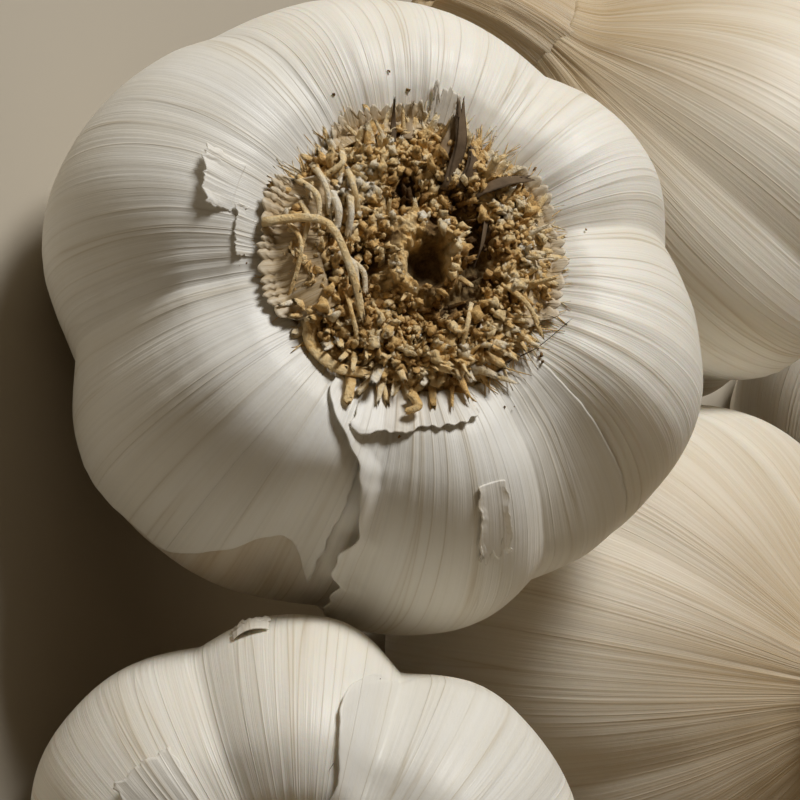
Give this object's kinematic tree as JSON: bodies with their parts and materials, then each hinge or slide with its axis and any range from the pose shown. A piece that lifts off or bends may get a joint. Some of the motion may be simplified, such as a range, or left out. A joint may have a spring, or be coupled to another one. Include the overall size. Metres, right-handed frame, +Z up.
{
  "type": "garlic bulbs",
  "caption": "Group of dry white garlic bulbs lying together, with papery skins, corky root plates and short dry stems.",
  "frame": {"origin": "centre of the group's footprint on the surface that the bulbs lie on", "axes": "+Z up from the surface; +Y runs from the front bulb towards the far bulb, the group's longest way; +X to the right"},
  "size_m": [0.1178, 0.1689, 0.0618],
  "materials": {
    "papery_skin": "satin papery skin with fine veins",
    "root_cork": "dry crumbly cork with root stubs",
    "dry_stem": "dry straw-coloured layered stem"
  },
  "bodies": {
    "root": {"main_bulb_body": "papery_skin", "main_bulb_root_plate": "root_cork", "main_bulb_dry_stem": "dry_stem", "main_bulb_torn_skin": "papery_skin", "main_bulb_side_shred": "papery_skin", "front_bulb_body": "papery_skin", "front_bulb_root_plate": "root_cork", "front_bulb_dry_stem": "dry_stem", "front_bulb_torn_skin": "papery_skin", "right_bulb_body": "papery_skin", "right_bulb_root_plate": "root_cork", "right_bulb_dry_stem": "dry_stem", "back_bulb_body": "papery_skin", "back_bulb_root_plate": "root_cork", "back_bulb_dry_stem": "dry_stem", "far_bulb_body": "papery_skin", "far_bulb_root_plate": "root_cork", "far_bulb_dry_stem": "dry_stem"}
  },
  "joints": []
}
